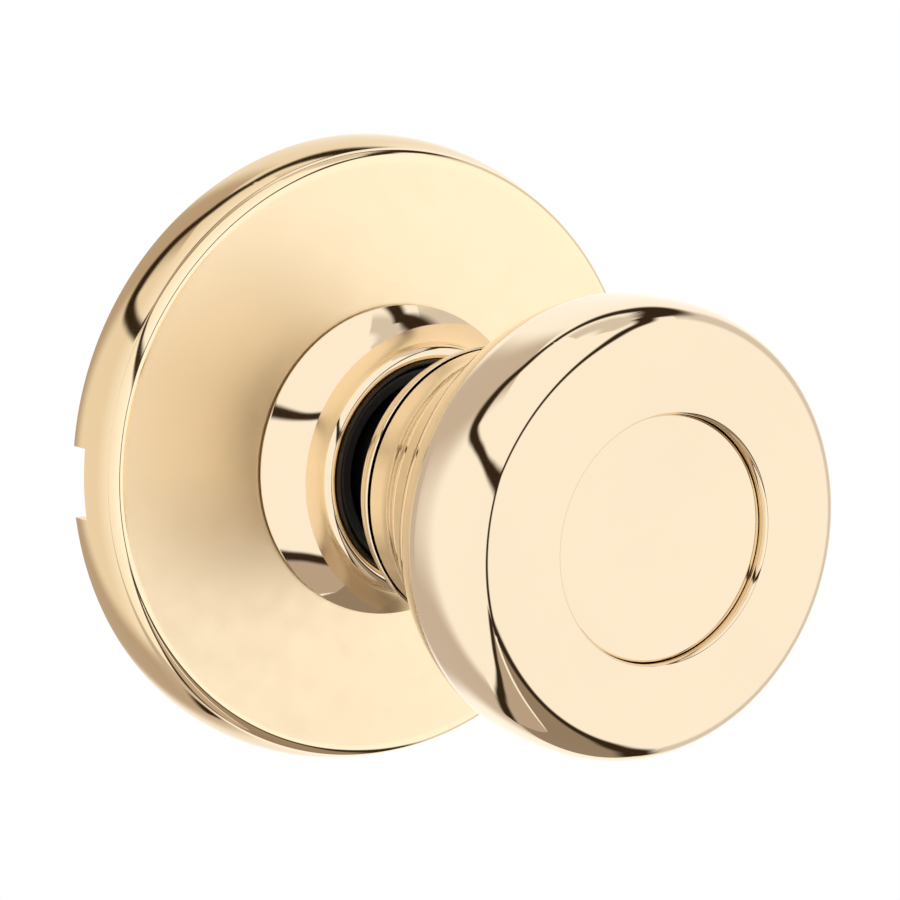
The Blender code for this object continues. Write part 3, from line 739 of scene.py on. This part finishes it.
def seam(name, points, material, far=SEAMS_FAR):
    """A ribbon of the light tent through (azimuth, elevation, half width) points, in degrees."""
    places = []
    for azimuth, elevation, half in smooth(points, CURVE_STEPS):
        places.append((towards(azimuth, elevation) * far, math.tan(math.radians(half)) * far))
    bm = bmesh.new()
    rows = []
    shares = (-1.0, -0.6, 0.0, 0.6, 1.0)
    edge = []
    for index, (spot, half) in enumerate(places):
        run = places[min(index + 1, len(places) - 1)][0] - places[max(index - 1, 0)][0]
        side = run.cross(spot).normalized()
        rows.append([bm.verts.new(spot + side * half * share) for share in shares])
        edge += [abs(share) for share in shares]
    for row, other in zip(rows, rows[1:]):
        for step in range(len(shares) - 1):
            bm.faces.new((row[step], row[step + 1], other[step + 1], other[step]))
    obj = stage_piece(bm, name, material)
    across = obj.data.attributes.new("across", "FLOAT", "POINT")
    across.data.foreach_set("value", edge)
    only_reflected(obj)


def table(name, points, colour):
    """Part of the table under the tent: a fan from straight below to the (azimuth, elevation) points."""
    bm = bmesh.new()
    below = bm.verts.new((0.0, 0.0, -TABLE_FAR))
    edge = []
    for azimuth, elevation, _ in smooth(points, CURVE_STEPS):
        edge.append(bm.verts.new(towards(azimuth, elevation) * TABLE_FAR))
    for vert, after in zip(edge, edge[1:]):
        bm.faces.new((below, vert, after))
    only_reflected(stage_piece(bm, name, emitter(name, colour)))


def light_tent():
    """Warm white tent with dark seams between its panels, dimmer cloths behind and a tan table below."""
    world = bpy.data.worlds.new("tent")
    bpy.context.scene.world = world
    world.use_nodes = True
    background = world.node_tree.nodes["Background"]
    background.inputs["Color"].default_value = (*TENT_COLOUR, 1.0)
    background.inputs["Strength"].default_value = TENT_STRENGTH
    bpy.context.scene.view_settings.view_transform = "Standard"

    dark = emitter("seam_cloth", (0.040, 0.024, 0.013), True)
    left_top = [(-180, 60, 3), (-158, 56, 4), (-147, 45, 5), (-140, 36, 6), (-134, 32, 5), (-121, 32, 4)]
    left_top += [(-102, 32, 4), (-80, 29, 4), (-56, 23, 5), (-34, 15, 5), (-20, 9, 5)]
    seam("seam_left_top", left_top, dark)
    seam("seam_front", [(-20, 13, 4), (-19, 5, 4), (-17, -12, 5), (-14, -30, 6)], dark)
    right_top = [(-21, 10, 4), (0, 28, 5), (15, 40, 6), (35, 53, 6), (60, 57, 6), (90, 62, 6)]
    seam("seam_right_top", right_top, dark)
    corner = [(82, 60, 5), (100, 54, 13), (120, 46, 13), (135, 50, 8), (158, 57, 4), (180, 60, 3)]
    seam("seam_corner", corner, dark)
    right_bottom = [(-14, -28, 6), (10, -34, 6), (30, -46, 6), (50, -57, 7), (90, -61, 7), (115, -56, 6)]
    left_bottom = [(-20, -25, 5), (-35, -40, 4), (-60, -57, 4)]
    left_bottom += [(-100, -66, 5), (-150, -64, 5), (-180, -57, 4)]
    seam("seam_right_bottom", right_bottom, dark)
    seam("seam_left_bottom", left_bottom, dark)
    table("table_left", left_bottom, (0.56, 0.46, 0.38))
    table("table_right", right_bottom + [(180, -57, 4)], (0.34, 0.27, 0.21))

    rear = emitter("rear_cloth", (0.66, 0.57, 0.50), True)
    seam("rear_left", [(-162, -62, 24), (-162, 0, 26), (-162, 56, 24)], rear, CLOTHS_FAR)
    side = emitter("side_cloth", (0.78, 0.72, 0.66), True)
    seam("far_right", [(98, -56, 20), (98, 0, 22), (98, 50, 20)], side, CLOTHS_FAR)
    seam("top_right", [(50, 74, 10), (110, 70, 14), (170, 72, 10)], side, TOP_CLOTH_FAR)


FLOOR_HALF = 30.0
FLOOR_HEIGHT = -0.6


def floor():
    """Plain pale floor far below, which the reflections leave out."""
    bm = bmesh.new()
    bmesh.ops.create_grid(bm, x_segments=1, y_segments=1, size=FLOOR_HALF)
    obj = stage_piece(bm, "floor", emitter("floor_paper", (1.0, 1.0, 1.0)))
    obj.location = (0.0, 0.0, FLOOR_HEIGHT)
    obj.visible_glossy = False
    obj.visible_diffuse = False


def camera():
    """Camera at the fitted angle and distance."""
    data = bpy.data.cameras.new("camera")
    data.lens = LENS
    data.sensor_width = 36.0
    obj = bpy.data.objects.new("camera", data)
    bpy.context.scene.collection.objects.link(obj)
    level = math.cos(ELEVATION)
    back = Vector((math.sin(AZIMUTH) * level, -math.cos(AZIMUTH) * level, math.sin(ELEVATION)))
    right = Vector((math.cos(AZIMUTH), math.sin(AZIMUTH), 0.0))
    up = back.cross(right)
    obj.location = right * SHIFT_RIGHT + up * SHIFT_UP + back * DISTANCE
    obj.rotation_mode = "QUATERNION"
    obj.rotation_quaternion = (-back).to_track_quat("-Z", "Y")
    bpy.context.scene.camera = obj


light_tent()
floor()
camera()
